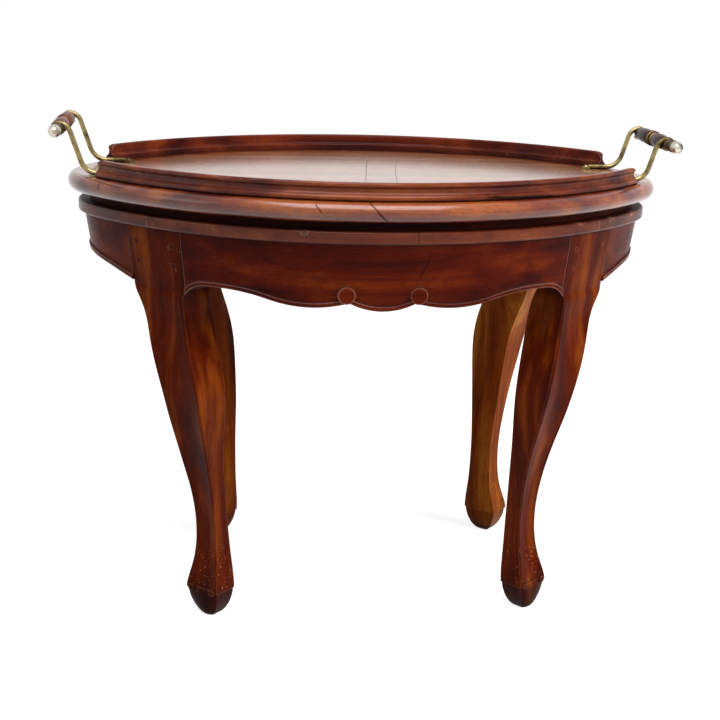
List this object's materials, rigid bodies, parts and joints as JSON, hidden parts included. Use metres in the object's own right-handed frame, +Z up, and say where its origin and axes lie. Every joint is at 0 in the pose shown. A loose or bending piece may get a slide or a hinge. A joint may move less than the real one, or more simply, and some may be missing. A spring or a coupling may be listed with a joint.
{
  "type": "oval tray table",
  "caption": "Oval side table on curved legs with scalloped aprons and a lift-off serving tray with low galleries and turned bail handles.",
  "frame": {"origin": "on the floor under the middle of the stand", "axes": "+Z up, +X along the long side towards the right-hand handle, -Y the front with the handle finials"},
  "size_m": [0.726, 0.494, 0.5765],
  "materials": {
    "stand_wood": "polished dark red-brown",
    "tray_wood": "polished dark red-brown",
    "tray_panel": "high polish",
    "hidden_wood": "raw",
    "grip_wood": "polished",
    "brass": "aged, half polished"
  },
  "bodies": {
    "stand": {"leg_front_left": "stand_wood", "leg_front_right": "stand_wood", "leg_back_left": "stand_wood", "leg_back_right": "stand_wood", "apron_front": "stand_wood", "apron_back": "stand_wood", "apron_left": "stand_wood", "apron_right": "stand_wood", "rim_front": "stand_wood", "rim_back": "stand_wood", "rim_left": "stand_wood", "rim_right": "stand_wood", "joint_pegs": "stand_wood", "glue_blocks": "hidden_wood"},
    "tray": {"tray_floor": "tray_panel", "tray_edge_front_left": "tray_wood", "tray_edge_front_right": "tray_wood", "tray_edge_back_left": "tray_wood", "tray_edge_back_right": "tray_wood", "tray_gallery_front": "tray_wood", "tray_gallery_back": "tray_wood", "tray_plinth": "tray_wood", "tray_locating_blocks": "hidden_wood", "handle_left_arm_front": "brass", "handle_left_arm_back": "brass", "handle_left_spindle": "brass", "handle_left_ferrule_front": "brass", "handle_left_ferrule_back": "brass", "handle_left_finial": "brass", "handle_right_arm_front": "brass", "handle_right_arm_back": "brass", "handle_right_spindle": "brass", "handle_right_ferrule_front": "brass", "handle_right_ferrule_back": "brass", "handle_right_finial": "brass", "handle_screws": "brass"},
    "left_grip": {"handle_left_grip": "grip_wood"},
    "right_grip": {"handle_right_grip": "grip_wood"}
  },
  "joints": [
    {"name": "tray_lift", "type": "slide", "parent": "stand", "child": "tray", "axis": [0, 0, 1], "range_m": [0, 0.2]},
    {"name": "left_grip_turn", "type": "hinge", "parent": "tray", "child": "left_grip", "pos_m": [-0.355, 0, 0.567], "axis": [0, 1, 0], "continuous": true},
    {"name": "right_grip_turn", "type": "hinge", "parent": "tray", "child": "right_grip", "pos_m": [0.352, 0, 0.5595], "axis": [0, 1, 0], "continuous": true}
  ]
}
